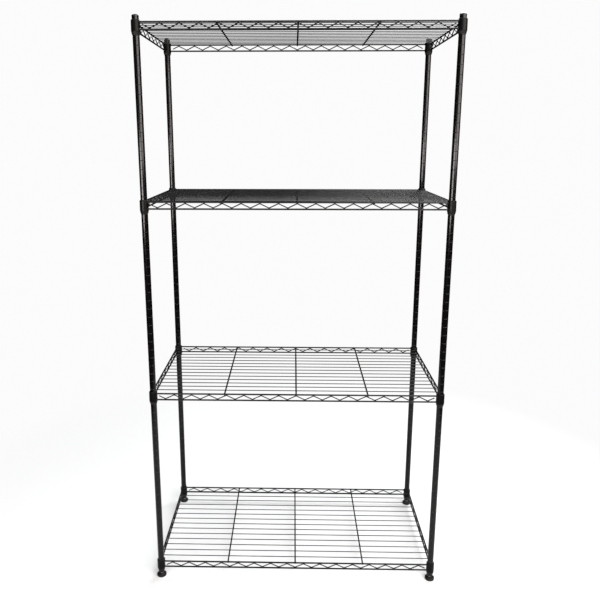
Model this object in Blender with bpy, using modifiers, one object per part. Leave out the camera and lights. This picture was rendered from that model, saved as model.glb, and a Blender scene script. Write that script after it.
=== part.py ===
"""Four-tier wire shelving rack with grooved posts, split sleeves and levelling feet.

Metres, +Z up.  The origin is the centre of the rack's footprint on the floor,
+X runs along the shelves to the right and +Y to the back.
"""

from math import hypot, pi

import bmesh
import bpy
from mathutils import Matrix

# Driving dimensions of the rack.
POST_SPACING_X = 0.875
POST_SPACING_Y = 0.424
GROOVE_PITCH = 0.0254
BOTTOM_SHELF_Z = 0.0543
SHELF_GROOVES = {"bottom_shelf": 0, "lower_shelf": 23, "upper_shelf": 46, "top_shelf": 65}
CORNERS = {
    "front_left": (-1, -1),
    "front_right": (1, -1),
    "back_left": (-1, 1),
    "back_right": (1, 1),
}

ROUND_SIDES = 12
SHARP_ANGLE = pi / 5
CLEARANCE = 0.0003
WELD_DISTANCE = 0.00001

# Posts: one-piece tubes with a locking groove at each sleeve.
POST_RADIUS = 0.0095
POST_WALL = 0.0012
POST_BOTTOM_Z = 0.0163
POST_TOP_ABOVE_TOP_SHELF = 0.0130
GROOVE_DEPTH = 0.0009
GROOVE_HALF_WIDTH = 0.0016
GROOVE_BELOW_DECK = 0.0100

# Sleeves: two tapered halves that clip round a post, wedged by the shelf's collar, which
# stops just above the flared skirt at their lower end.
SLEEVE_ABOVE_DECK = 0.0065
SLEEVE_BELOW_DECK = 0.0335
SLEEVE_TOP_RADIUS = 0.0106
SLEEVE_TAPER = 1.0 / 43.0
SKIRT_TOP_RADIUS = 0.0124
SKIRT_END_RADIUS = 0.0104
BEAD_HALF_WIDTH = 0.0011

# Shelves: deck wires on cross ribs, trusses on four sides and a collar at each corner.
ROD_HEIGHT = 0.0048
ROD_THICKNESS = 0.0040
TRUSS_DEPTH = 0.0195
TRUSS_LEGS_X = 30
TRUSS_LEGS_Y = 14
TRUSS_LEG_PITCH = 0.0266
TRUSS_LEG_WIDTH = 0.0018
TRUSS_END_RADIUS = 0.01125
TRUSS_OUTSIDE_POSTS = 0.0045
DECK_WIRES = 14
DECK_WIRE_RADIUS = 0.0013
DECK_WIRE_Z = 0.0008
RIB_POSITIONS = (-0.25, 0.0, 0.25)
RIB_RADIUS = 0.0023
WELD_SINK = 0.0005
COLLAR_ABOVE_DECK = 0.0050
COLLAR_BELOW_DECK = 0.0250
COLLAR_TOP_RADIUS = 0.0125
COLLAR_BOTTOM_RADIUS = 0.0127

# Caps close the posts' tops.
CAP_PLUG_LENGTH = 0.0150
CAP_RADIUS = 0.0097
CAP_RIM_HEIGHT = 0.0020
CAP_CROWN_RADIUS = 0.0060
CAP_CROWN_HEIGHT = 0.0053
CAP_DOME_HEIGHT = 0.0066

# Feet: a threaded insert in the post, a stud with a hex, and a pad that swivels on it.
STUD_RADIUS = 0.0040
STUD_TOP_Z = 0.0450
STUD_CHAMFER = 0.0008
STUD_BALL_RADIUS = 0.0052
STUD_BALL_CHAMFER = 0.0010
HEX_RADIUS = 0.0075
HEX_BOTTOM_Z = 0.0112
HEX_TOP_Z = 0.0142
INSERT_BOTTOM_Z = 0.0145
INSERT_TOP_Z = 0.0340
PAD_RADIUS = 0.0150
PAD_EDGE = 0.0008
PAD_SIDE_Z = 0.0050
PAD_SHOULDER_RADIUS = 0.0138
PAD_SHOULDER_Z = 0.0070
PAD_TOP_RADIUS = 0.0090
PAD_TOP_Z = 0.0108
SOCKET_FLOOR_Z = 0.0035
SOCKET_LIP_Z = 0.0085

POST_INNER_RADIUS = POST_RADIUS - POST_WALL
TOP_SHELF_Z = BOTTOM_SHELF_Z + SHELF_GROOVES["top_shelf"] * GROOVE_PITCH
POST_TOP_Z = TOP_SHELF_Z + POST_TOP_ABOVE_TOP_SHELF


def empty_scene():
    for scene_object in list(bpy.data.objects):
        bpy.data.objects.remove(scene_object, do_unlink=True)


def collection(name):
    new = bpy.data.collections.new(name)
    bpy.context.scene.collection.children.link(new)
    return new


def material(name, colour, roughness, metallic):
    new = bpy.data.materials.new(name)
    new.use_nodes = True
    shader = new.node_tree.nodes["Principled BSDF"]
    shader.inputs["Base Color"].default_value = (*colour, 1.0)
    shader.inputs["Roughness"].default_value = roughness
    shader.inputs["Metallic"].default_value = metallic
    return new


def place(name, mesh, target, location=(0.0, 0.0, 0.0)):
    """Add a named object for a mesh."""
    new = bpy.data.objects.new(name, mesh)
    new.location = location
    target.objects.link(new)
    return new


def evaluated_mesh(source, name):
    """Mesh of an object with its modifiers or bevel applied, welded into one closed body."""
    bpy.context.view_layer.update()
    graph = bpy.context.evaluated_depsgraph_get()
    mesh = bpy.data.meshes.new_from_object(source.evaluated_get(graph))
    mesh.name = name
    work = bmesh.new()
    work.from_mesh(mesh)
    bmesh.ops.remove_doubles(work, verts=work.verts, dist=WELD_DISTANCE)
    work.to_mesh(mesh)
    work.free()
    return mesh


def as_mesh(source):
    """Replace a curve or a modified object by a plain mesh object in the same place."""
    mesh = evaluated_mesh(source, source.name)
    target = source.users_collection[0]
    new = place(source.name, mesh, target)
    new.matrix_world = source.matrix_world
    bpy.data.objects.remove(source, do_unlink=True)
    return new


def shade_round(mesh):
    mesh.shade_smooth()
    mesh.set_sharp_from_angle(angle=SHARP_ANGLE)
    return mesh


def turned(name, profile, closed, scratch):
    """Turn a profile of (radius, height) points about Z, from its top down the outer side."""
    mesh = bpy.data.meshes.new(name)
    points = [(radius, 0.0, height) for radius, height in profile]
    edges = [(i, i + 1) for i in range(len(points) - 1)]
    if closed:
        edges.append((len(points) - 1, 0))
    mesh.from_pydata(points, edges, [])
    blank = place(name, mesh, scratch)
    screw = blank.modifiers.new("turn", "SCREW")
    screw.steps = screw.render_steps = ROUND_SIDES
    screw.use_merge_vertices = True
    screw.merge_threshold = WELD_DISTANCE
    result = evaluated_mesh(blank, name)
    bpy.data.meshes.remove(mesh)
    return shade_round(result)


def part_turned(name, profile, start, angle, steps):
    """Turn a closed profile through part of a circle, with flat faces at both ends."""
    work = bmesh.new()
    corners = [work.verts.new((radius, 0.0, height)) for radius, height in profile]
    work.faces.new(corners)
    bmesh.ops.rotate(work, verts=work.verts, matrix=Matrix.Rotation(start, 3, "Z"))
    bmesh.ops.spin(work, geom=work.verts[:] + work.edges[:] + work.faces[:],
                   axis=(0.0, 0.0, 1.0), cent=(0.0, 0.0, 0.0), angle=angle, steps=steps)
    bmesh.ops.recalc_face_normals(work, faces=work.faces)
    mesh = bpy.data.meshes.new(name)
    work.to_mesh(mesh)
    work.free()
    return shade_round(mesh)


def wire(name, points, radius, scratch):
    """A square-section wire along a list of points."""
    data = bpy.data.curves.new(name, "CURVE")
    data.dimensions = "3D"
    data.bevel_depth = radius
    data.bevel_resolution = 0
    data.use_fill_caps = True
    spline = data.splines.new("POLY")
    spline.points.add(len(points) - 1)
    for target, point in zip(spline.points, points):
        target.co = (*point, 1.0)
    return as_mesh(place(name, data, scratch))


def outline(data, corners):
    """Add a closed outline to a flat curve."""
    spline = data.splines.new("POLY")
    spline.points.add(len(corners) - 1)
    for target, (across, up) in zip(spline.points, corners):
        target.co = (across, up, 0.0, 1.0)
    spline.use_cyclic_u = True


def union(name, pieces, scratch):
    """Join overlapping mesh objects into one closed mesh, in world coordinates."""
    members = bpy.data.collections.new(name + "_members")
    scratch.children.link(members)
    for piece in pieces[1:]:
        members.objects.link(piece)
    join = pieces[0].modifiers.new("weld", "BOOLEAN")
    join.operation = "UNION"
    join.solver = "EXACT"
    join.operand_type = "COLLECTION"
    join.collection = members
    mesh = evaluated_mesh(pieces[0], name)
    mesh.transform(pieces[0].matrix_world)
    for piece in pieces:
        bpy.data.objects.remove(piece, do_unlink=True)
    return mesh


def sleeve_radius(height):
    """Outer radius of the tapered sleeve at a height above the deck rods."""
    return SLEEVE_TOP_RADIUS + (SLEEVE_ABOVE_DECK - height) * SLEEVE_TAPER


# ---------------------------------------------------------------- posts and caps

def post_mesh(scratch):
    profile = [(POST_RADIUS, POST_TOP_Z)]
    for grooves in sorted(SHELF_GROOVES.values(), reverse=True):
        middle = BOTTOM_SHELF_Z + grooves * GROOVE_PITCH - GROOVE_BELOW_DECK
        profile += [
            (POST_RADIUS, middle + GROOVE_HALF_WIDTH),
            (POST_RADIUS - GROOVE_DEPTH, middle),
            (POST_RADIUS, middle - GROOVE_HALF_WIDTH),
        ]
    profile += [
        (POST_RADIUS, POST_BOTTOM_Z),
        (POST_INNER_RADIUS, POST_BOTTOM_Z),
        (POST_INNER_RADIUS, POST_TOP_Z),
    ]
    return turned("post", profile, True, scratch)


def cap_mesh(scratch):
    rim = POST_TOP_Z + CLEARANCE
    plug = POST_INNER_RADIUS - CLEARANCE
    profile = [
        (0.0, rim + CAP_DOME_HEIGHT),
        (CAP_CROWN_RADIUS, rim + CAP_CROWN_HEIGHT),
        (CAP_RADIUS, rim + CAP_RIM_HEIGHT),
        (CAP_RADIUS, rim),
        (plug, rim),
        (plug, rim - CAP_PLUG_LENGTH),
        (0.0, rim - CAP_PLUG_LENGTH),
    ]
    return turned("post_cap", profile, False, scratch)


# ---------------------------------------------------------------- sleeves

def sleeve_half_mesh(name, start):
    """Half of a split sleeve, with its bead in the post's groove; heights are above the deck rods."""
    bore = POST_RADIUS + CLEARANCE
    top = SLEEVE_ABOVE_DECK
    bottom = -SLEEVE_BELOW_DECK
    skirt_top = -COLLAR_BELOW_DECK - CLEARANCE
    profile = [
        (sleeve_radius(top), top),
        (sleeve_radius(skirt_top), skirt_top),
        (SKIRT_TOP_RADIUS, skirt_top),
        (SKIRT_END_RADIUS, bottom),
        (bore, bottom),
        (bore, -GROOVE_BELOW_DECK - BEAD_HALF_WIDTH),
        (bore - GROOVE_DEPTH + CLEARANCE / 2, -GROOVE_BELOW_DECK),
        (bore, -GROOVE_BELOW_DECK + BEAD_HALF_WIDTH),
        (bore, top),
    ]
    split_angle = CLEARANCE / bore
    return part_turned(name, profile, start + split_angle / 2, pi - split_angle, ROUND_SIDES // 2)


# ---------------------------------------------------------------- shelves

def truss(name, half_length, legs, scratch):
    """Two rods joined by an even number of zigzag legs, as one flat lattice upright along X."""
    data = bpy.data.curves.new(name, "CURVE")
    data.dimensions = "2D"
    data.fill_mode = "BOTH"
    data.extrude = ROD_THICKNESS / 2
    edge = ROD_HEIGHT / 2
    low, high = edge - TRUSS_DEPTH, -edge
    half_base = TRUSS_LEG_PITCH - TRUSS_LEG_WIDTH * hypot(TRUSS_LEG_PITCH, high - low) / (high - low)
    end_leg = legs / 2 * TRUSS_LEG_PITCH
    right = [
        (half_length, edge),
        (half_length, high),
        (end_leg - half_base, high),
        (end_leg, low),
        (half_length, low),
        (half_length, -edge - TRUSS_DEPTH),
    ]
    left = [(-across, up) for across, up in reversed(right)]
    outline(data, right + left)
    for index in range(1, legs):
        middle = index * TRUSS_LEG_PITCH - end_leg
        base, tip = (low, high) if index % 2 else (high, low)
        outline(data, [(middle - half_base, base), (middle + half_base, base), (middle, tip)])
    flat = place(name, data, scratch)
    flat.rotation_euler = (pi / 2, 0.0, 0.0)
    return as_mesh(flat)


def shelf_trusses(scratch):
    """The four side trusses, a little outside the planes of the post axes."""
    half_x, half_y = POST_SPACING_X / 2, POST_SPACING_Y / 2
    out_x, out_y = half_x + TRUSS_OUTSIDE_POSTS, half_y + TRUSS_OUTSIDE_POSTS
    pieces = []
    for side in (-1, 1):
        long_truss = truss("long_truss", half_x - TRUSS_END_RADIUS, TRUSS_LEGS_X, scratch)
        long_truss.matrix_world = Matrix.Translation((0.0, side * out_y, 0.0)) @ long_truss.matrix_world
        short_truss = truss("short_truss", half_y - TRUSS_END_RADIUS, TRUSS_LEGS_Y, scratch)
        quarter_turn = Matrix.Rotation(pi / 2, 4, "Z")
        shift = Matrix.Translation((side * out_x, 0.0, 0.0))
        short_truss.matrix_world = shift @ quarter_turn @ short_truss.matrix_world
        pieces += [long_truss, short_truss]
    return pieces


def deck_wires(scratch):
    """Wires along X that end inside the side trusses' top rods."""
    reach = POST_SPACING_X / 2 + TRUSS_OUTSIDE_POSTS
    width = POST_SPACING_Y + 2 * TRUSS_OUTSIDE_POSTS
    pieces = []
    for index in range(DECK_WIRES):
        across = (index + 1) * width / (DECK_WIRES + 1) - width / 2
        points = [(-reach, across, DECK_WIRE_Z), (reach, across, DECK_WIRE_Z)]
        pieces.append(wire("deck_wire", points, DECK_WIRE_RADIUS, scratch))
    return pieces


def cross_ribs(scratch):
    """Ribs under the deck wires, from the front truss's top rod to the back one's."""
    level = DECK_WIRE_Z - DECK_WIRE_RADIUS - RIB_RADIUS + WELD_SINK
    reach = POST_SPACING_Y / 2 + TRUSS_OUTSIDE_POSTS
    pieces = []
    for position in RIB_POSITIONS:
        across = position * POST_SPACING_X
        points = [(across, -reach, level), (across, reach, level)]
        pieces.append(wire("cross_rib", points, RIB_RADIUS, scratch))
    return pieces


def collars(scratch):
    """Tapered rings that drop over the sleeves."""
    top, bottom = COLLAR_ABOVE_DECK, -COLLAR_BELOW_DECK
    profile = [
        (COLLAR_TOP_RADIUS, top),
        (COLLAR_BOTTOM_RADIUS, bottom),
        (sleeve_radius(bottom) + CLEARANCE, bottom),
        (sleeve_radius(top) + CLEARANCE, top),
    ]
    ring = turned("collar", profile, True, scratch)
    return [
        place("collar", ring, scratch, (x * POST_SPACING_X / 2, y * POST_SPACING_Y / 2, 0.0))
        for x, y in CORNERS.values()
    ]


def shelf_mesh(scratch):
    """One welded shelf, with the centre line of its top rods at height 0."""
    pieces = shelf_trusses(scratch) + deck_wires(scratch) + cross_ribs(scratch) + collars(scratch)
    return union("shelf", pieces, scratch)


# ---------------------------------------------------------------- feet

def insert_mesh(scratch):
    """Threaded plug in the foot of a post, with a flange under the tube's end."""
    seat = POST_BOTTOM_Z - CLEARANCE
    body = POST_INNER_RADIUS - CLEARANCE
    bore = STUD_RADIUS + CLEARANCE
    profile = [
        (body, INSERT_TOP_Z),
        (body, seat),
        (POST_RADIUS, seat),
        (POST_RADIUS, INSERT_BOTTOM_Z),
        (bore, INSERT_BOTTOM_Z),
        (bore, INSERT_TOP_Z),
    ]
    return turned("foot_insert", profile, True, scratch)


def stud_mesh(scratch):
    """Threaded stud with a hex to turn it by, and a round end that sits in the pad."""
    ball_top = SOCKET_LIP_Z - CLEARANCE
    ball_bottom = SOCKET_FLOOR_Z + CLEARANCE
    profile = [
        (0.0, STUD_TOP_Z),
        (STUD_RADIUS - STUD_CHAMFER, STUD_TOP_Z),
        (STUD_RADIUS, STUD_TOP_Z - STUD_CHAMFER),
        (STUD_RADIUS, ball_top),
        (STUD_BALL_RADIUS, ball_top - STUD_BALL_CHAMFER),
        (STUD_BALL_RADIUS, ball_bottom + STUD_BALL_CHAMFER),
        (STUD_BALL_RADIUS - STUD_BALL_CHAMFER, ball_bottom),
        (0.0, ball_bottom),
    ]
    shaft = place("foot_stud_shaft", turned("foot_stud_shaft", profile, False, scratch), scratch)
    hexagon = bmesh.new()
    middle = Matrix.Translation((0.0, 0.0, (HEX_BOTTOM_Z + HEX_TOP_Z) / 2))
    bmesh.ops.create_cone(hexagon, cap_ends=True, segments=6, radius1=HEX_RADIUS, radius2=HEX_RADIUS,
                          depth=HEX_TOP_Z - HEX_BOTTOM_Z, matrix=middle)
    mesh = bpy.data.meshes.new("foot_stud_hex")
    hexagon.to_mesh(mesh)
    hexagon.free()
    return shade_round(union("foot_stud", [shaft, place("foot_stud_hex", mesh, scratch)], scratch))


def pad_mesh(scratch):
    """Round pad with a socket that holds the stud's end under a lip."""
    socket = STUD_BALL_RADIUS + CLEARANCE
    mouth = STUD_RADIUS + CLEARANCE
    profile = [
        (mouth, PAD_TOP_Z),
        (PAD_TOP_RADIUS, PAD_TOP_Z),
        (PAD_SHOULDER_RADIUS, PAD_SHOULDER_Z),
        (PAD_RADIUS, PAD_SIDE_Z),
        (PAD_RADIUS, PAD_EDGE),
        (PAD_RADIUS - PAD_EDGE, 0.0),
        (0.0, 0.0),
        (0.0, SOCKET_FLOOR_Z),
        (socket, SOCKET_FLOOR_Z),
        (socket, SOCKET_LIP_Z),
        (mouth, SOCKET_LIP_Z),
    ]
    return turned("foot_pad", profile, True, scratch)


# ---------------------------------------------------------------- assembly

def finish(mesh, look):
    mesh.materials.clear()
    mesh.materials.append(look)
    return mesh


def add_corner_pieces(rack, scratch):
    """A post, cap, insert, stud and pad at each corner."""
    kinds = {
        "post": finish(post_mesh(scratch), material("post_coat", (0.012, 0.011, 0.011), 0.28, 0.0)),
        "post_cap": finish(cap_mesh(scratch), material("cap_plastic", (0.014, 0.014, 0.014), 0.42, 0.0)),
        "foot_insert": finish(insert_mesh(scratch), material("insert_plastic", (0.02, 0.02, 0.02), 0.5, 0.0)),
        "foot_stud": finish(stud_mesh(scratch), material("stud_steel", (0.55, 0.55, 0.53), 0.30, 1.0)),
        "foot_pad": finish(pad_mesh(scratch), material("pad_plastic", (0.016, 0.016, 0.016), 0.55, 0.0)),
    }
    for corner, (side_x, side_y) in CORNERS.items():
        location = (side_x * POST_SPACING_X / 2, side_y * POST_SPACING_Y / 2, 0.0)
        for kind, mesh in kinds.items():
            place(f"{kind}_{corner}", mesh, rack, location)


def add_sleeves(rack):
    """A pair of sleeve halves at each corner of each shelf."""
    look = material("sleeve_plastic", (0.018, 0.018, 0.018), 0.50, 0.0)
    halves = {
        "rear": finish(sleeve_half_mesh("sleeve_rear", 0.0), look),
        "front": finish(sleeve_half_mesh("sleeve_front", pi), look),
    }
    for shelf, grooves in SHELF_GROOVES.items():
        level = BOTTOM_SHELF_Z + grooves * GROOVE_PITCH
        for corner, (side_x, side_y) in CORNERS.items():
            location = (side_x * POST_SPACING_X / 2, side_y * POST_SPACING_Y / 2, level)
            for half, mesh in halves.items():
                place(f"{shelf}_sleeve_{corner}_{half}_half", mesh, rack, location)


def add_shelves(rack, scratch):
    mesh = finish(shelf_mesh(scratch), material("shelf_coat", (0.012, 0.012, 0.012), 0.30, 0.0))
    for shelf, grooves in SHELF_GROOVES.items():
        place(shelf, mesh, rack, (0.0, 0.0, BOTTOM_SHELF_Z + grooves * GROOVE_PITCH))


def build():
    empty_scene()
    rack = collection("wire_shelving_rack")
    scratch = collection("construction")
    add_corner_pieces(rack, scratch)
    add_sleeves(rack)
    add_shelves(rack, scratch)


build()
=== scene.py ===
"""Looks of a four-tier wire shelving rack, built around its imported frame.

Places and outer sizes come from the frame.  The sizes below are details that it doesn't
hold, in metres.  A shelf's own height 0 is the centre line of its top rods.
"""

from math import asin, cos, pi, radians, sin, tan

import bmesh
import bpy
from mathutils import Matrix, Vector


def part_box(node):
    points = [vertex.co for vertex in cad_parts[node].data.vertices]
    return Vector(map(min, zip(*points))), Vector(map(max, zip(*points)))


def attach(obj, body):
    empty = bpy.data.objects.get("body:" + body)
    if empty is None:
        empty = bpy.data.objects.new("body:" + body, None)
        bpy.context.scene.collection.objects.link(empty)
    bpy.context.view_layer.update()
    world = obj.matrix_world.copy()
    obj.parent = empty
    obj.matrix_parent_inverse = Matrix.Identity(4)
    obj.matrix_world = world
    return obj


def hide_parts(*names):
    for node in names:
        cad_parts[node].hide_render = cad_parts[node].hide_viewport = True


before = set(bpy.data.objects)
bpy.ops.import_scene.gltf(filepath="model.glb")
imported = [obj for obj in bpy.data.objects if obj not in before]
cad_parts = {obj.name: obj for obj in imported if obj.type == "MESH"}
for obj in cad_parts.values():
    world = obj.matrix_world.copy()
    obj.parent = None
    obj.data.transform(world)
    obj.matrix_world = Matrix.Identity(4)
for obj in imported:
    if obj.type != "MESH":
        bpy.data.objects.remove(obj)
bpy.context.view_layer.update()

SHELVES = ("bottom_shelf", "lower_shelf", "upper_shelf", "top_shelf")
CORNERS = ("front_left", "front_right", "back_left", "back_right")

ARC_STEPS = 5
SHARP_ANGLE = radians(38)
POST_SIDES = 48
COLLAR_SIDES = 64
GAP = 0.0003

# Posts: tubes with a groove rolled in at every pitch.
GROOVE_PITCH = 0.0254
GROOVE_BELOW_DECK = 0.0100
GROOVE_DEPTH = 0.0003
GROOVE_HALF_WIDTH = 0.0008
GROOVE_STEPS = 8
TUBE_WALL = 0.0012
TUBE_EDGE = 0.0003

# Caps.
CAP_SIDE_HEIGHT = 0.0022
CAP_DOME_STEPS = 12

# Shelves: rods, zigzag wire, deck wires, ribs, weld beads and collars.
TRUSS_DEPTH = 0.0195
ROD_RADIUS = 0.0025
ROD_REACH = 0.0113
TRUSS_OUTSIDE_POSTS = 0.0045
ZIGZAG_RADIUS = 0.00165
ZIGZAG_PITCH = 0.0266
ZIGZAG_BEND = 0.0030
ZIGZAG_SINK = 0.0007
ZIGZAG_FREE_LEG = 0.75
LONG_LEGS = 30
SHORT_LEGS = 14
DECK_WIRES = 14
DECK_WIRE_RADIUS = 0.00133
DECK_WIRE_Z = 0.0008
RIB_POSITIONS = (-0.25, 0.0, 0.25)
RIB_RADIUS = 0.0025
WELD_SINK = 0.0005
CUT_END_EDGE = 0.0005
ROD_BEAD_HALF_SIZES = (0.0010, 0.0042, 0.0037)
WIRE_END_BEAD_HALF_SIZES = (0.0009, 0.0019, 0.0016)
WIRE_ON_RIB_BEAD_HALF_SIZES = (0.0021, 0.0018, 0.0006)
RIB_END_BEAD_HALF_SIZES = (0.0030, 0.0016, 0.0015)
COLLAR_ABOVE_DECK = 0.0050
COLLAR_TOP_RADIUS = 0.0124
COLLAR_MIDDLE_RADIUS = 0.0126
COLLAR_BOTTOM_RADIUS = 0.0127
COLLAR_EDGE = 0.0009

# Sleeves: two tapered halves with a bead inside for the groove and a skirt below the collar.
SLEEVE_BEAD_HALF_WIDTH = 0.0012
SLEEVE_EDGE = 0.0004
SLEEVE_STEPS = 32
SPLIT_GAP = 0.00025
SLEEVE_TOP_RADIUS = 0.0106
SLEEVE_TAPER = 1.0 / 43.0
SKIRT_TOP_RADIUS = 0.0124
SKIRT_END_RADIUS = 0.0104
SKIRT_HEIGHT = 0.0082

# Feet: the stud's thread, hexagon and round end, and the pad that holds the round end.
THREAD_PITCH = 0.00125
THREAD_DEPTH = 0.00068
THREAD_CREST_SHARE = 0.12
THREAD_SLOPE_SHARE = 0.72
THREAD_ROWS_PER_TURN = 10
THREAD_SIDES = 48
THREAD_START = 0.0010
STUD_RADIUS = 0.0040
STUD_NECK_RADIUS = 0.0033
STUD_TIP_CHAMFER = 0.0009
BALL_RADIUS = 0.0052
BALL_EDGE = 0.0012
BALL_SIDE_Z = 0.0070
BALL_TOP_Z = 0.0082
HEX_RADIUS = 0.0075
HEX_BOTTOM_Z = 0.0112
HEX_TOP_Z = 0.0142
HEX_EDGE = 0.0006
SOCKET_FLOOR_Z = 0.0035
SOCKET_LIP_Z = 0.0085
AXIS_HOLE = 0.0004

# Stage.
FLOOR_RADIUS = 1.65
FLOOR_CLEAR = 0.6
ROOM_LIGHT = 0.04
BACKDROP_LIGHT = 0.97
WARM = (1.0, 0.94, 0.91)


# ---------------------------------------------------------------- shapes

class Shape:
    """Closed skins, gathered into one mesh."""

    def __init__(self):
        self.points = []
        self.faces = []

    def skin(self, rings, looped=False, matrix=Matrix.Identity(4)):
        """Join rings of equally many points; a looped skin ends where it starts."""
        start, count = len(self.points), len(rings[0])
        for ring in rings:
            self.points += [matrix @ point for point in ring]
        for index in range(len(rings) if looped else len(rings) - 1):
            near = start + index * count
            far = start + (index + 1) % len(rings) * count
            for side in range(count):
                other = (side + 1) % count
                self.faces.append((near + side, near + other, far + other, far + side))
        if not looped:
            self.faces.append(tuple(range(start, start + count)))
            self.faces.append(tuple(range(len(self.points) - count, len(self.points))))

    def mesh(self, name, look):
        mesh = bpy.data.meshes.new(name)
        mesh.from_pydata(self.points, [], self.faces)
        work = bmesh.new()
        work.from_mesh(mesh)
        bmesh.ops.recalc_face_normals(work, faces=work.faces)
        work.to_mesh(mesh)
        work.free()
        mesh.shade_smooth()
        mesh.set_sharp_from_angle(angle=SHARP_ANGLE)
        mesh.materials.append(look)
        return mesh


def rounded(corners, looped=False):
    """Points of an outline given as (corner, radius), each corner turned into an arc."""
    points = []
    for index, (corner, radius) in enumerate(corners):
        corner = Vector(corner)
        if radius == 0.0 or (not looped and index in (0, len(corners) - 1)):
            points.append(corner)
            continue
        before = (corner - Vector(corners[index - 1][0])).normalized()
        after = (Vector(corners[(index + 1) % len(corners)][0]) - corner).normalized()
        turn = before.angle(after)
        inward = (after - before * before.dot(after)).normalized()
        start = corner - before * radius * tan(turn / 2)
        for step in range(ARC_STEPS + 1):
            swing = turn * step / ARC_STEPS
            points.append(start + before * radius * sin(swing) + inward * radius * (1 - cos(swing)))
    return points


def circle(radius, height, sides):
    """A ring of points about Z; its radius may be a function of the angle."""
    points = []
    for index in range(sides):
        angle = 2 * pi * index / sides
        reach = radius(angle) if callable(radius) else radius
        points.append(Vector((reach * cos(angle), reach * sin(angle), height)))
    return points


def turned(outline, sides, looped, shape=None, matrix=Matrix.Identity(4)):
    """Turn an outline of (radius, height) points about Z."""
    shape = shape or Shape()
    shape.skin([circle(radius, height, sides) for radius, height in outline], looped, matrix)
    return shape


def swept(shape, path, radius, across, sides):
    """A round wire along a path square to the direction `across`, with its cut ends eased."""
    across = Vector(across)
    path = [Vector(point) for point in path]
    ways = [(path[min(i + 1, len(path) - 1)] - path[max(i - 1, 0)]).normalized() for i in range(len(path))]
    stations = [(point, way, radius) for point, way in zip(path, ways)][1:-1]
    for step in (2, 1, 0):
        swing = pi / 4 * step
        inset = CUT_END_EDGE * (1 - cos(swing))
        reach = radius - CUT_END_EDGE * (1 - sin(swing))
        stations.insert(0, (path[0] + ways[0] * inset, ways[0], reach))
        stations.append((path[-1] - ways[-1] * inset, ways[-1], reach))
    rings = []
    for point, way, reach in stations:
        up = way.cross(across)
        angles = [2 * pi * side / sides for side in range(sides)]
        rings.append([point + (across * cos(a) + up * sin(a)) * reach for a in angles])
    shape.skin(rings)


def nugget(shape, place, half_sizes, turn=0.0):
    """A small smooth lump of weld metal, turned about Z."""
    outline = [(sin(pi * (step + 0.15) / 6.3), cos(pi * (step + 0.15) / 6.3)) for step in range(7)]
    spun = Matrix.Translation(place) @ Matrix.Rotation(turn, 4, "Z")
    turned(outline, 16, False, shape, spun @ Matrix.Diagonal((*half_sizes, 1.0)))


# ---------------------------------------------------------------- materials

class Look:
    """A Principled material with node-made detail, in the piece's own coordinates."""

    def __init__(self, name, roughness, metallic=0.0):
        self.material = bpy.data.materials.new(name)
        self.material.use_nodes = True
        self.nodes = self.material.node_tree.nodes
        self.links = self.material.node_tree.links
        self.shader = self.nodes["Principled BSDF"]
        self.shader.inputs["Roughness"].default_value = roughness
        self.shader.inputs["Metallic"].default_value = metallic
        self.place = self.nodes.new("ShaderNodeTexCoord").outputs["Object"]

    def join(self, source, target):
        self.links.new(source, target)

    def noise(self, scale, detail=2.0, stretch=(1.0, 1.0, 1.0)):
        """Noise whose patches are about 1/scale metres across."""
        mapping = self.nodes.new("ShaderNodeMapping")
        mapping.inputs["Scale"].default_value = stretch
        self.join(self.place, mapping.inputs["Vector"])
        noise = self.nodes.new("ShaderNodeTexNoise")
        noise.inputs["Scale"].default_value = scale
        noise.inputs["Detail"].default_value = detail
        self.join(mapping.outputs["Vector"], noise.inputs["Vector"])
        return noise.outputs["Fac"]

    def spread(self, value, start, end, low, high):
        """Map a value's range from start..end to low..high."""
        node = self.nodes.new("ShaderNodeMapRange")
        for socket, number in zip(("From Min", "From Max", "To Min", "To Max"), (start, end, low, high)):
            node.inputs[socket].default_value = number
        self.join(value, node.inputs["Value"])
        return node.outputs["Result"]

    def times(self, first, second):
        node = self.nodes.new("ShaderNodeMath")
        node.operation = "MULTIPLY"
        self.join(first, node.inputs[0])
        self.join(second, node.inputs[1])
        return node.outputs["Value"]

    def blend(self, factor, first, second):
        """Blend two colours; the first may be the output of an earlier blend."""
        node = self.nodes.new("ShaderNodeMix")
        node.data_type = "RGBA"
        self.join(factor, node.inputs["Factor"])
        colours = [socket for socket in node.inputs if socket.type == "RGBA"]
        for socket, colour in zip(colours, (first, second)):
            if isinstance(colour, tuple):
                socket.default_value = (*colour, 1.0)
            else:
                self.join(colour, socket)
        return [socket for socket in node.outputs if socket.type == "RGBA"][0]

    def upward(self):
        """1 on faces that look up, 0 on steep ones."""
        split = self.nodes.new("ShaderNodeSeparateXYZ")
        self.join(self.nodes.new("ShaderNodeNewGeometry").outputs["Normal"], split.inputs["Vector"])
        return self.spread(split.outputs["Z"], 0.35, 1.0, 0.0, 1.0)

    def bump(self, height, distance, under=None):
        node = self.nodes.new("ShaderNodeBump")
        node.inputs["Strength"].default_value = 1.0
        node.inputs["Distance"].default_value = distance
        self.join(height, node.inputs["Height"])
        if under:
            self.join(under, node.inputs["Normal"])
        return node.outputs["Normal"]

    def finish(self, colour, roughness, normal):
        self.join(colour, self.shader.inputs["Base Color"])
        self.join(roughness, self.shader.inputs["Roughness"])
        self.join(normal, self.shader.inputs["Normal"])
        return self.material


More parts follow.
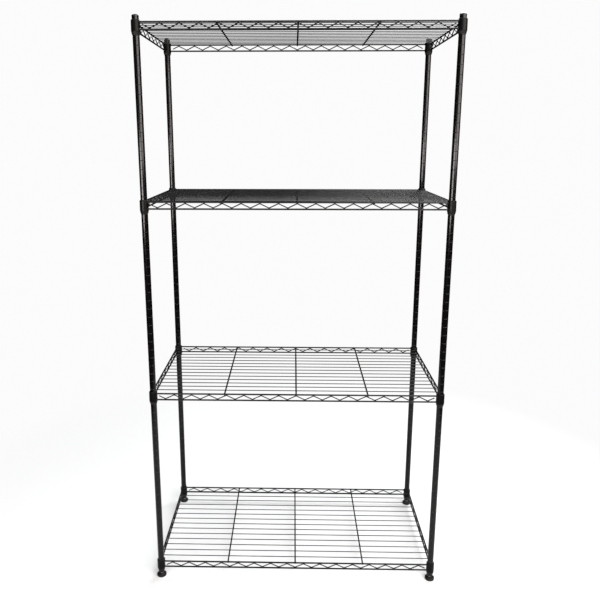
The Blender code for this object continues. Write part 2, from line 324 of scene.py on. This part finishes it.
def powder_coat(name, colour, roughness, shine):
    """Baked black powder: glossy, with orange peel, slight unevenness and a trace of dust on top."""
    look = Look(name, roughness)
    look.shader.inputs["Specular IOR Level"].default_value = shine
    dark = tuple(channel * 0.7 for channel in colour)
    dusty = tuple(channel * 1.2 + 0.004 for channel in colour)
    cloud = look.spread(look.noise(38.0, 3.0), 0.35, 0.65, 0.0, 1.0)
    dust = look.times(look.upward(), look.spread(look.noise(90.0, 5.0), 0.42, 0.70, 0.0, 0.5))
    tone = look.blend(dust, look.blend(cloud, dark, colour), dusty)
    gloss = look.spread(look.noise(210.0, 3.0), 0.3, 0.7, roughness - 0.02, roughness + 0.03)
    peel = look.bump(look.noise(420.0, 1.0), 0.000008)
    grain = look.bump(look.noise(2600.0, 2.0), 0.0000008, peel)
    return look.finish(tone, gloss, grain)


def moulded_plastic(name, colour, roughness, shine, grain_depth):
    """Black moulded plastic with a fine sparked grain and faint flow marks."""
    look = Look(name, roughness)
    look.shader.inputs["Specular IOR Level"].default_value = shine
    pale = tuple(channel * 1.6 + 0.002 for channel in colour)
    flow = look.spread(look.noise(70.0, 4.0, (1.0, 1.0, 0.35)), 0.35, 0.7, 0.0, 1.0)
    rough = look.spread(look.noise(300.0, 2.0), 0.3, 0.7, roughness - 0.05, roughness + 0.07)
    grain = look.bump(look.noise(3200.0, 3.0), grain_depth)
    return look.finish(look.blend(flow, colour, pale), rough, grain)


def zinc_steel(name):
    """Zinc plate: bright grey with faint blue and yellow passivation and turning marks."""
    look = Look(name, 0.3, 1.0)
    tint = look.spread(look.noise(160.0, 3.0), 0.35, 0.65, 0.0, 1.0)
    stain = look.spread(look.noise(420.0, 4.0), 0.55, 0.75, 0.0, 0.6)
    tone = look.blend(stain, look.blend(tint, (0.56, 0.57, 0.60), (0.62, 0.60, 0.52)), (0.30, 0.29, 0.27))
    rough = look.spread(look.noise(700.0, 3.0), 0.3, 0.7, 0.22, 0.42)
    marks = look.bump(look.noise(900.0, 2.0, (0.15, 0.15, 4.0)), 0.00003)
    return look.finish(tone, rough, marks)


LOOKS = {
    "post_coat": powder_coat("gloss_black_powder_coat", (0.0020, 0.0018, 0.0018), 0.11, 0.20),
    "shelf_coat": powder_coat("black_wire_powder_coat", (0.0024, 0.0022, 0.0022), 0.20, 0.22),
    "cap_plastic": moulded_plastic("cap_black_plastic", (0.004, 0.004, 0.004), 0.24, 0.30, 0.000008),
    "sleeve_plastic": moulded_plastic("sleeve_black_plastic", (0.005, 0.005, 0.005), 0.46, 0.12, 0.000016),
    "insert_plastic": moulded_plastic("insert_black_nylon", (0.006, 0.006, 0.006), 0.42, 0.12, 0.000012),
    "foot_plastic": moulded_plastic("foot_black_nylon", (0.005, 0.005, 0.005), 0.36, 0.12, 0.000012),
    "stud_steel": zinc_steel("zinc_plated_steel"),
}
COLLAR_LOOK = powder_coat("black_collar_powder_coat", (0.0024, 0.0022, 0.0022), 0.30, 0.08)


# ---------------------------------------------------------------- the frame

def corner_place(corner):
    """The foot of a post's axis, on the floor."""
    low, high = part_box(f"post_{corner}")
    return Vector(((low.x + high.x) / 2, (low.y + high.y) / 2, 0.0))


def shelf_level(shelf):
    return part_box(shelf)[1].z - COLLAR_ABOVE_DECK


HALF_X = corner_place("front_right").x
HALF_Y = corner_place("back_right").y
TRUSS_X = HALF_X + TRUSS_OUTSIDE_POSTS
TRUSS_Y = HALF_Y + TRUSS_OUTSIDE_POSTS
POST_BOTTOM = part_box("post_front_left")[0].z
POST_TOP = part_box("post_front_left")[1].z
POST_RADIUS = (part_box("post_front_left")[1].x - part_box("post_front_left")[0].x) / 2


def add_piece(name, mesh, body, nodes, place=(0.0, 0.0, 0.0), turn=0.0):
    """Put a mesh in place of CAD nodes, riding on their body."""
    piece = bpy.data.objects.new(name, mesh)
    bpy.context.scene.collection.objects.link(piece)
    piece.location = place
    piece.rotation_euler = (0.0, 0.0, turn)
    even = piece.modifiers.new("even_shading", "WEIGHTED_NORMAL")
    even.keep_sharp = True
    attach(piece, body)
    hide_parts(*nodes)
    return piece


# ---------------------------------------------------------------- posts and caps

def groove_outline(middle):
    """Corners of one rolled groove, from its upper edge to its lower one."""
    corners = []
    for step in range(GROOVE_STEPS + 1):
        along = 2 * step / GROOVE_STEPS - 1
        radius = POST_RADIUS - GROOVE_DEPTH * (1 + cos(pi * along)) / 2
        corners.append(((radius, middle - along * GROOVE_HALF_WIDTH), 0.0))
    return corners


def post_mesh():
    first = shelf_level("bottom_shelf") - GROOVE_BELOW_DECK
    count = int((POST_TOP - GROOVE_HALF_WIDTH - first) / GROOVE_PITCH) + 1
    corners = [((POST_RADIUS, POST_TOP), TUBE_EDGE)]
    for index in reversed(range(count)):
        corners += groove_outline(first + index * GROOVE_PITCH)
    inner = POST_RADIUS - TUBE_WALL
    corners += [((POST_RADIUS, POST_BOTTOM), TUBE_EDGE), ((inner, POST_BOTTOM), TUBE_EDGE),
                ((inner, POST_TOP), TUBE_EDGE)]
    return turned(rounded(corners, True), POST_SIDES, True).mesh("grooved_post", LOOKS["post_coat"])


def cap_mesh():
    """A domed head over the tube's end, and a plug inside it."""
    low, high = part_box("post_cap_front_left")
    radius = (high.x - low.x) / 2
    plug = POST_RADIUS - TUBE_WALL - GAP
    rim = POST_TOP + GAP
    side_top = rim + CAP_SIDE_HEIGHT
    dome = high.z - side_top
    outline = []
    for step in range(CAP_DOME_STEPS + 1):
        swing = pi / 2 * (0.02 + 0.98 * step / CAP_DOME_STEPS)
        outline.append(Vector((radius * sin(swing) ** 0.8, side_top + dome * cos(swing) ** 0.9)))
    foot = rounded([((radius, side_top), 0.0), ((radius, rim), 0.0004), ((plug, rim), 0.0),
                    ((plug, low.z), 0.0006), ((0.0005, low.z), 0.0)])
    shape = turned(outline + foot[1:], COLLAR_SIDES, False)
    return shape.mesh("domed_cap", LOOKS["cap_plastic"])


# ---------------------------------------------------------------- sleeves

def sleeve_ends():
    """Heights of a sleeve's top and bottom above the deck rods."""
    low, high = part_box("top_shelf_sleeve_front_left_front_half")
    level = shelf_level("top_shelf")
    return high.z - level, low.z - level


def sleeve_radius(height, top):
    """Outer radius of a tapered sleeve with its top at a given height."""
    return SLEEVE_TOP_RADIUS + (top - height) * SLEEVE_TAPER


def sleeve_half_mesh(name, start):
    """Half of a split sleeve: tapered wall, skirt below the collar, and a bead for the groove."""
    top, bottom = sleeve_ends()
    skirt = bottom + SKIRT_HEIGHT
    bore = POST_RADIUS + GAP
    bead = -GROOVE_BELOW_DECK
    outline = rounded([
        ((SLEEVE_TOP_RADIUS, top), SLEEVE_EDGE),
        ((sleeve_radius(skirt, top), skirt), 0.0),
        ((SKIRT_TOP_RADIUS, skirt), SLEEVE_EDGE),
        ((SKIRT_END_RADIUS, bottom), 0.0002),
        ((bore, bottom), 0.0002),
        ((bore, bead - SLEEVE_BEAD_HALF_WIDTH), 0.0),
        ((bore - GROOVE_DEPTH + GAP / 2, bead), 0.0005),
        ((bore, bead + SLEEVE_BEAD_HALF_WIDTH), 0.0),
        ((bore, top), 0.0002),
    ], True)
    half_gap = SPLIT_GAP / 2 / bore
    eased = []
    for index in range(3):
        swing = pi / 6 * index
        eased.append((SLEEVE_EDGE / bore * (1 - cos(swing)), SLEEVE_EDGE * (1 - sin(swing)) * 0.6))
    stations = [(half_gap + angle, inset) for angle, inset in eased]
    first, last = half_gap + SLEEVE_EDGE / bore, pi - half_gap - SLEEVE_EDGE / bore
    stations += [(first + (last - first) * i / SLEEVE_STEPS, 0.0) for i in range(SLEEVE_STEPS + 1)]
    stations += [(pi - half_gap - angle, inset) for angle, inset in reversed(eased)]
    sections = []
    for angle, inset in stations:
        reaches = [radius - (inset if radius > bore + GAP else 0.0) for radius, height in outline]
        heights = [height for radius, height in outline]
        way = (cos(start + angle), sin(start + angle))
        sections.append([Vector((r * way[0], r * way[1], z)) for r, z in zip(reaches, heights)])
    shape = Shape()
    shape.skin(sections)
    return shape.mesh(name, LOOKS["sleeve_plastic"])


# ---------------------------------------------------------------- shelves

def zigzag_path(legs, flip):
    """Centre line of the zigzag wire; its two end legs stop free of the collars."""
    reach = TRUSS_DEPTH / 2 - ROD_RADIUS - ZIGZAG_RADIUS + ZIGZAG_SINK
    corners = []
    for index in range(-1, legs + 2):
        side = 1.0 if index % 2 else -1.0
        across = (index - legs / 2) * ZIGZAG_PITCH
        if index in (-1, legs + 1):
            inner = -side
            across -= (1 - ZIGZAG_FREE_LEG) * ZIGZAG_PITCH * (1 if index > 0 else -1)
            side = inner + (side - inner) * ZIGZAG_FREE_LEG
        corners.append(((across, 0.0, flip * side * reach - TRUSS_DEPTH / 2), ZIGZAG_BEND))
    return rounded(corners)


def truss_mesh(name, half_length, legs, flip):
    """Top rod, bottom rod and the zigzag wire between them, upright along X.

    The collars stand behind the rods, and a low bead joins each rod's end to its collar's side.
    """
    shape = Shape()
    reach = half_length - ROD_REACH
    swing = asin(TRUSS_OUTSIDE_POSTS / COLLAR_MIDDLE_RADIUS)
    for height in (0.0, -TRUSS_DEPTH):
        swept(shape, [(-reach, 0.0, height), (reach, 0.0, height)], ROD_RADIUS, (0.0, 1.0, 0.0), 20)
        for side in (-1, 1):
            foot = side * (half_length - COLLAR_MIDDLE_RADIUS * cos(swing))
            nugget(shape, (foot, 0.0, height), ROD_BEAD_HALF_SIZES, side * swing)
    swept(shape, zigzag_path(legs, flip), ZIGZAG_RADIUS, (0.0, 1.0, 0.0), 14)
    return shape.mesh(name, LOOKS["shelf_coat"])


def deck_mesh():
    """The deck wires, welded to the side trusses' top rods at their ends."""
    shape = Shape()
    pitch = 2 * TRUSS_Y / (DECK_WIRES + 1)
    reach = TRUSS_X - ROD_RADIUS * 0.4
    for index in range(DECK_WIRES):
        y = (index + 1) * pitch - TRUSS_Y
        path = [(-reach, y, DECK_WIRE_Z), (reach, y, DECK_WIRE_Z)]
        swept(shape, path, DECK_WIRE_RADIUS, (0.0, 1.0, 0.0), 16)
        for side in (-1, 1):
            nugget(shape, (side * (TRUSS_X - ROD_RADIUS), y, DECK_WIRE_Z), WIRE_END_BEAD_HALF_SIZES)
        for position in RIB_POSITIONS:
            place = (position * 2 * HALF_X, y, DECK_WIRE_Z - DECK_WIRE_RADIUS)
            nugget(shape, place, WIRE_ON_RIB_BEAD_HALF_SIZES)
    return shape.mesh("deck_wires", LOOKS["shelf_coat"])


def rib_mesh():
    """Straight cross ribs under the deck wires, welded to the front and back trusses' top rods."""
    shape = Shape()
    level = DECK_WIRE_Z - DECK_WIRE_RADIUS - RIB_RADIUS + WELD_SINK
    reach = TRUSS_Y - ROD_RADIUS * 0.3
    for position in RIB_POSITIONS:
        x = position * 2 * HALF_X
        swept(shape, [(x, -reach, level), (x, reach, level)], RIB_RADIUS, (1.0, 0.0, 0.0), 18)
        for side in (-1, 1):
            place = (x, side * (TRUSS_Y - ROD_RADIUS * 0.5), -ROD_RADIUS * 0.8)
            nugget(shape, place, RIB_END_BEAD_HALF_SIZES)
    return shape.mesh("cross_ribs", LOOKS["shelf_coat"])


def collar_mesh():
    """A tapered ring that drops over a pair of sleeve halves."""
    sleeve_top, sleeve_bottom = sleeve_ends()
    top, bottom = COLLAR_ABOVE_DECK, sleeve_bottom + SKIRT_HEIGHT + GAP
    outline = rounded([
        ((COLLAR_TOP_RADIUS, top), COLLAR_EDGE),
        ((COLLAR_BOTTOM_RADIUS, bottom), 0.0005),
        ((sleeve_radius(bottom, sleeve_top) + GAP, bottom), 0.0003),
        ((sleeve_radius(top, sleeve_top) + GAP, top), 0.0004),
    ], True)
    return turned(outline, COLLAR_SIDES, True).mesh("tapered_collar", COLLAR_LOOK)


# ---------------------------------------------------------------- feet

def thread(angle, height, crest, depth):
    """Radius of a right-hand thread at an angle and a height."""
    phase = (height / THREAD_PITCH - angle / (2 * pi)) % 1.0
    slope = (abs(2 * phase - 1) - THREAD_CREST_SHARE) / THREAD_SLOPE_SHARE
    return crest - depth * min(max(slope, 0.0), 1.0)


def stud_mesh():
    """Threaded shank, hexagon and round foot in one piece."""
    low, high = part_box("foot_stud_front_left")
    flat = HEX_RADIUS * cos(pi / 6)

    def hexagon(limit):
        """Radius of the hexagon at an angle, its corners turned down to a limit."""
        return lambda angle: min(flat / cos((angle + pi / 6) % (pi / 3) - pi / 6), limit)

    def threaded(height):
        tip = max(0.0, height - (high.z - STUD_TIP_CHAMFER))
        return lambda angle: min(thread(angle, height, STUD_RADIUS, THREAD_DEPTH), STUD_RADIUS - tip)

    rows = [(AXIS_HOLE, low.z)]
    for step in range(6):
        swing = pi / 2 * step / 5
        rows.append((BALL_RADIUS - BALL_EDGE * (1 - sin(swing)), low.z + BALL_EDGE * (1 - cos(swing))))
    rows += [
        (BALL_RADIUS, BALL_SIDE_Z),
        (BALL_RADIUS - 0.0006, BALL_TOP_Z - 0.0002),
        (STUD_NECK_RADIUS, BALL_TOP_Z),
        (STUD_NECK_RADIUS, HEX_BOTTOM_Z - 0.0001),
        (flat - 0.0003, HEX_BOTTOM_Z),
        (hexagon(flat + 0.0002), HEX_BOTTOM_Z + 0.0001),
        (hexagon(HEX_RADIUS), HEX_BOTTOM_Z + HEX_EDGE),
        (hexagon(HEX_RADIUS), HEX_TOP_Z - HEX_EDGE),
        (hexagon(flat + 0.0002), HEX_TOP_Z - 0.0001),
        (flat - 0.0003, HEX_TOP_Z),
        (STUD_NECK_RADIUS, HEX_TOP_Z + 0.0001),
        (STUD_NECK_RADIUS, HEX_TOP_Z + 0.0006),
    ]
    start = HEX_TOP_Z + THREAD_START
    for index in range(int((high.z - start) / THREAD_PITCH * THREAD_ROWS_PER_TURN) + 1):
        height = start + index * THREAD_PITCH / THREAD_ROWS_PER_TURN
        rows.append((threaded(height), height))
    rows += [(STUD_RADIUS - THREAD_DEPTH - 0.0004, high.z), (AXIS_HOLE, high.z)]
    return turned(rows, THREAD_SIDES, False).mesh("foot_stud", LOOKS["stud_steel"])


def insert_mesh():
    """Threaded plug pressed into the post's foot."""
    low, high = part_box("foot_insert_front_left")
    body = POST_RADIUS - TUBE_WALL - GAP
    bore = STUD_RADIUS + GAP
    seat = POST_BOTTOM - GAP
    corners = [((body, high.z), 0.0008), ((body, seat), 0.0), ((POST_RADIUS, seat), 0.0003),
               ((POST_RADIUS, low.z), 0.0005), ((bore, low.z), 0.0003), ((bore, high.z), 0.0003)]
    return turned(rounded(corners, True), POST_SIDES, True).mesh("foot_insert", LOOKS["insert_plastic"])


def pad_mesh():
    """Round pad with a socket for the stud's foot."""
    low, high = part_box("foot_pad_front_left")
    radius = (high.x - low.x) / 2
    socket, mouth = BALL_RADIUS + GAP, STUD_RADIUS + GAP
    corners = [
        ((mouth, high.z), 0.0004),
        ((0.0085, high.z), 0.0014),
        ((0.0115, 0.0088), 0.0030),
        ((radius, 0.0062), 0.0016),
        ((radius, 0.0), 0.0011),
        ((0.0120, 0.0), 0.0),
        ((0.0115, 0.0005), 0.0),
        ((0.0005, 0.0005), 0.0),
        ((0.0005, SOCKET_FLOOR_Z), 0.0),
        ((socket, SOCKET_FLOOR_Z), 0.0006),
        ((socket, SOCKET_LIP_Z), 0.0004),
        ((mouth, SOCKET_LIP_Z), 0.0002),
    ]
    return turned(rounded(corners, True), COLLAR_SIDES, True).mesh("foot_pad", LOOKS["foot_plastic"])


# ---------------------------------------------------------------- assembly

def add_posts():
    post, cap = post_mesh(), cap_mesh()
    insert, stud, pad = insert_mesh(), stud_mesh(), pad_mesh()
    for corner in CORNERS:
        place = corner_place(corner)
        add_piece(f"grooved_post_{corner}", post, "posts", [f"post_{corner}"], place)
        add_piece(f"domed_cap_{corner}", cap, "posts", [f"post_cap_{corner}"], place)
        add_piece(f"threaded_insert_{corner}", insert, "posts",
                  [f"foot_insert_{corner}"], place)
        add_piece(f"levelling_stud_{corner}", stud, f"foot_stud_{corner}",
                  [f"foot_stud_{corner}"], place)
        add_piece(f"levelling_pad_{corner}", pad, f"foot_pad_{corner}",
                  [f"foot_pad_{corner}"], place)


def add_sleeves():
    halves = {
        "rear": sleeve_half_mesh("sleeve_rear_half", 0.0),
        "front": sleeve_half_mesh("sleeve_front_half", pi),
    }
    for shelf in SHELVES:
        for corner in CORNERS:
            place = corner_place(corner) + Vector((0.0, 0.0, shelf_level(shelf)))
            for half, mesh in halves.items():
                add_piece(f"{shelf}_split_sleeve_{corner}_{half}", mesh, "posts",
                          [f"{shelf}_sleeve_{corner}_{half}_half"], place)


def add_shelves():
    """The welded shelves; the zigzags of the bottom shelf and of the top one's back are inverted."""
    deck, ribs, collar = deck_mesh(), rib_mesh(), collar_mesh()
    long_trusses = {flip: truss_mesh("long_truss", HALF_X, LONG_LEGS, flip) for flip in (1, -1)}
    short_truss = truss_mesh("short_truss", HALF_Y, SHORT_LEGS, 1)
    for shelf in SHELVES:
        front_truss = long_trusses[-1 if shelf == "bottom_shelf" else 1]
        back_truss = long_trusses[-1 if shelf in ("bottom_shelf", "top_shelf") else 1]
        members = [
            ("deck_wires", deck, 0.0, 0.0, 0.0),
            ("cross_ribs", ribs, 0.0, 0.0, 0.0),
            ("front_truss", front_truss, 0.0, -TRUSS_Y, 0.0),
            ("back_truss", back_truss, 0.0, TRUSS_Y, pi),
            ("left_truss", short_truss, -TRUSS_X, 0.0, -pi / 2),
            ("right_truss", short_truss, TRUSS_X, 0.0, pi / 2),
        ]
        for corner in CORNERS:
            place = corner_place(corner)
            members.append((f"collar_{corner}", collar, place.x, place.y, 0.0))
        for kind, mesh, x, y, turn in members:
            place = (x, y, shelf_level(shelf))
            add_piece(f"{shelf}_{kind}", mesh, shelf, [shelf], place, turn)


# ---------------------------------------------------------------- stage, light and camera

def add_stage():
    """A round pale floor, whose rim glows as brightly as the surroundings, so that it has no edge."""
    look = Look("pale_floor", 0.9)
    look.shader.inputs["Specular IOR Level"].default_value = 0.0
    look.shader.inputs["Emission Color"].default_value = (1.0, 1.0, 1.0, 1.0)
    reach = look.nodes.new("ShaderNodeVectorMath")
    reach.operation = "LENGTH"
    look.join(look.place, reach.inputs[0])
    rim = look.spread(reach.outputs["Value"], FLOOR_CLEAR, FLOOR_RADIUS * 0.97, 0.0, 1.0)
    look.join(look.blend(rim, (0.68, 0.70, 0.71), (0.0, 0.0, 0.0)), look.shader.inputs["Base Color"])
    look.join(look.spread(rim, 0.0, 1.0, 0.0, BACKDROP_LIGHT), look.shader.inputs["Emission Strength"])
    mesh = bpy.data.meshes.new("floor")
    work = bmesh.new()
    bmesh.ops.create_circle(work, cap_ends=True, segments=96, radius=FLOOR_RADIUS)
    work.to_mesh(mesh)
    work.free()
    mesh.materials.append(look.material)
    floor = bpy.data.objects.new("floor", mesh)
    bpy.context.scene.collection.objects.link(floor)


def add_light(name, place, target, width, height, power, tint=(1.0, 1.0, 1.0)):
    data = bpy.data.lights.new(name, "AREA")
    data.color = tint
    data.shape = "RECTANGLE"
    data.size, data.size_y, data.energy = width, height, power
    light = bpy.data.objects.new(name, data)
    light.location = place
    light.rotation_euler = (Vector(target) - Vector(place)).to_track_quat("-Z", "Y").to_euler()
    bpy.context.scene.collection.objects.link(light)


def add_world():
    """Nearly white to look at, but a dim room for everything that it lights."""
    world = bpy.data.worlds.new("studio")
    world.use_nodes = True
    nodes, links = world.node_tree.nodes, world.node_tree.links
    background = nodes["Background"]
    strength = nodes.new("ShaderNodeMapRange")
    strength.inputs["To Min"].default_value = ROOM_LIGHT
    strength.inputs["To Max"].default_value = BACKDROP_LIGHT
    links.new(nodes.new("ShaderNodeLightPath").outputs["Is Camera Ray"], strength.inputs["Value"])
    links.new(strength.outputs["Result"], background.inputs["Strength"])
    background.inputs["Color"].default_value = (1.0, 1.0, 1.0, 1.0)
    bpy.context.scene.world = world


def add_lights():
    """Large soft panels: two in front, whose reflections run down the posts, and two overhead."""
    middle = (0.0, 0.0, 1.2)
    add_light("front_right_panel", (1.9, -2.5, 2.0), middle, 4.2, 1.7, 228.0, WARM)
    add_light("front_left_panel", (-1.75, -3.9, 0.98), middle, 3.2, 0.8, 168.0, WARM)
    add_light("overhead_front", (0.0, -0.6, 4.5), (0.0, -0.2, 0.0), 4.0, 2.4, 100.0)
    add_light("overhead_back", (1.3, 2.0, 3.6), (0.2, 0.5, 0.4), 2.2, 2.0, 150.0)


def add_camera():
    data = bpy.data.cameras.new("camera")
    data.sensor_width = 36.0
    data.lens = 37.0
    data.shift_x = 0.0321
    data.shift_y = -0.0426
    camera = bpy.data.objects.new("camera", data)
    camera.location = (-0.0100, -1.9679, 1.4041)
    camera.rotation_euler = (pi / 2 - 0.2194, 0.0, 0.0210)
    bpy.context.scene.collection.objects.link(camera)
    bpy.context.scene.camera = camera
    bpy.context.scene.view_settings.view_transform = "Standard"


add_posts()
add_sleeves()
add_shelves()
add_stage()
add_world()
add_lights()
add_camera()
